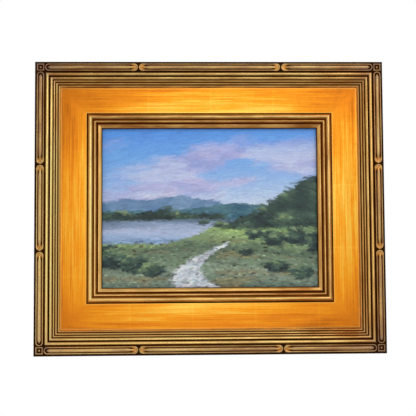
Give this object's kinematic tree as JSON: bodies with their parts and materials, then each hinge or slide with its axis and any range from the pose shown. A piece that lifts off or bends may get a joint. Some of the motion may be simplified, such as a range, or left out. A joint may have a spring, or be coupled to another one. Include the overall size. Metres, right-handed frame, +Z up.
{
  "type": "framed oil painting",
  "caption": "Small landscape oil painting on a panel in a wide mitred gilt frame with stepped reeds, a carved channel band, corner blocks and a keyhole hanger.",
  "frame": {"origin": "top of the slot of the keyhole hanger on the back of the top rail, in the plane of the wall", "axes": "+X to the viewer's right, +Y into the wall, +Z up; the painted face looks along -Y"},
  "size_m": [0.47, 0.0363, 0.3937],
  "materials": {
    "gilt_wood": "satin gold leaf over red-brown ground, rubbed and toned, on wood",
    "painted_panel": "oil paint with soft brush relief on a hardboard panel",
    "steel": "plain zinc-plated steel"
  },
  "bodies": {
    "root": {"frame_rail_top": "gilt_wood", "frame_rail_right": "gilt_wood", "frame_rail_bottom": "gilt_wood", "frame_rail_left": "gilt_wood", "painting_panel": "painted_panel", "keyhole_hanger": "steel", "hanger_screw_upper": "steel", "hanger_screw_lower": "steel", "framers_point_top_1": "steel", "framers_point_top_2": "steel", "framers_point_right": "steel", "framers_point_bottom_1": "steel", "framers_point_bottom_2": "steel", "framers_point_left": "steel"}
  },
  "joints": []
}
